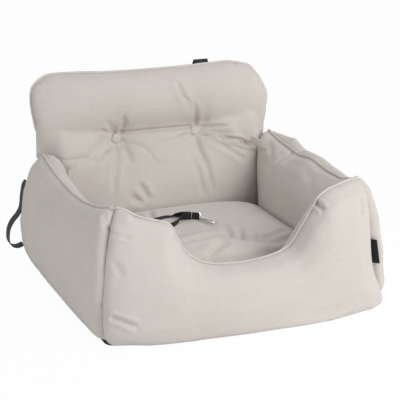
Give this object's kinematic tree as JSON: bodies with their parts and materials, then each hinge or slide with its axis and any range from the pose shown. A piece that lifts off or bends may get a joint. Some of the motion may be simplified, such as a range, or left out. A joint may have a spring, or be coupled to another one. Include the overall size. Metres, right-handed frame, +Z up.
{
  "type": "dog car seat",
  "caption": "Stuffed fabric dog car seat: square tub with a dipped front entry, loose-look seat cushion, tufted folding backrest, tether with bolt snap and headrest strap.",
  "frame": {"origin": "on the floor under the middle of the base", "axes": "+Z up, -Y towards the front entry, +X to the right as seen from the front"},
  "size_m": [0.6171, 0.5591, 0.3928],
  "materials": {
    "linen_fabric": "matt weave",
    "linen_piping": "matt weave",
    "fibre_filling": "matt",
    "non_slip_fabric": "matt, rubber dots",
    "hardboard": "smooth",
    "black_webbing": "woven",
    "black_plastic": "satin",
    "nickel_plate": "bright plate"
  },
  "bodies": {
    "tub": {"base_cover": "non_slip_fabric", "base_board": "hardboard", "wall_left_cover": "linen_fabric", "wall_left_filling": "fibre_filling", "wall_right_cover": "linen_fabric", "wall_right_filling": "fibre_filling", "wall_front_cover": "linen_fabric", "wall_front_filling": "fibre_filling", "backrest_lower_cover": "linen_fabric", "backrest_lower_filling": "fibre_filling", "seat_cushion_cover": "linen_fabric", "seat_cushion_filling": "fibre_filling", "piping_left": "linen_piping", "piping_right": "linen_piping", "piping_front": "linen_piping", "button_left": "linen_fabric", "button_right": "linen_fabric", "back_button_left": "black_plastic", "back_button_right": "black_plastic", "corner_tab_left": "linen_fabric", "corner_tab_right": "linen_fabric", "side_tag": "black_webbing", "belt_loop": "black_webbing", "tether_anchor": "black_webbing", "tether_strand_back": "black_webbing", "tether_strand_front": "black_webbing", "tether_keeper": "black_webbing", "snap_eye": "nickel_plate"},
    "backrest": {"backrest_upper_cover": "linen_fabric", "backrest_upper_filling": "fibre_filling", "piping_backrest": "linen_piping", "headrest_strap": "black_webbing", "buckle_female": "black_plastic", "buckle_strap": "black_webbing"},
    "buckle_male": {"buckle_male": "black_plastic", "buckle_tail": "black_webbing"},
    "snap": {"snap_body": "nickel_plate"},
    "bolt": {"snap_bolt": "nickel_plate"}
  },
  "joints": [
    {"name": "backrest_fold", "type": "hinge", "parent": "tub", "child": "backrest", "pos_m": [0, 0.2315, 0.261], "axis": [1, 0, 0], "range_deg": [-18, 80]},
    {"name": "buckle_release", "type": "slide", "parent": "backrest", "child": "buckle_male", "axis": [0, 0, 1], "range_m": [0, 0.02], "deforming": ["buckle_tail"]},
    {"name": "snap_swivel", "type": "hinge", "parent": "tub", "child": "snap", "pos_m": [0.00996, 0.00249, 0.13473], "axis": [0.4062, -0.9123, -0.0523], "continuous": true},
    {"name": "snap_bolt_slide", "type": "slide", "parent": "snap", "child": "bolt", "axis": [-0.4062, 0.9123, 0.0523], "range_m": [0, 0.0065], "stiffness_N_per_m": 300, "springref_m": -0.004}
  ]
}
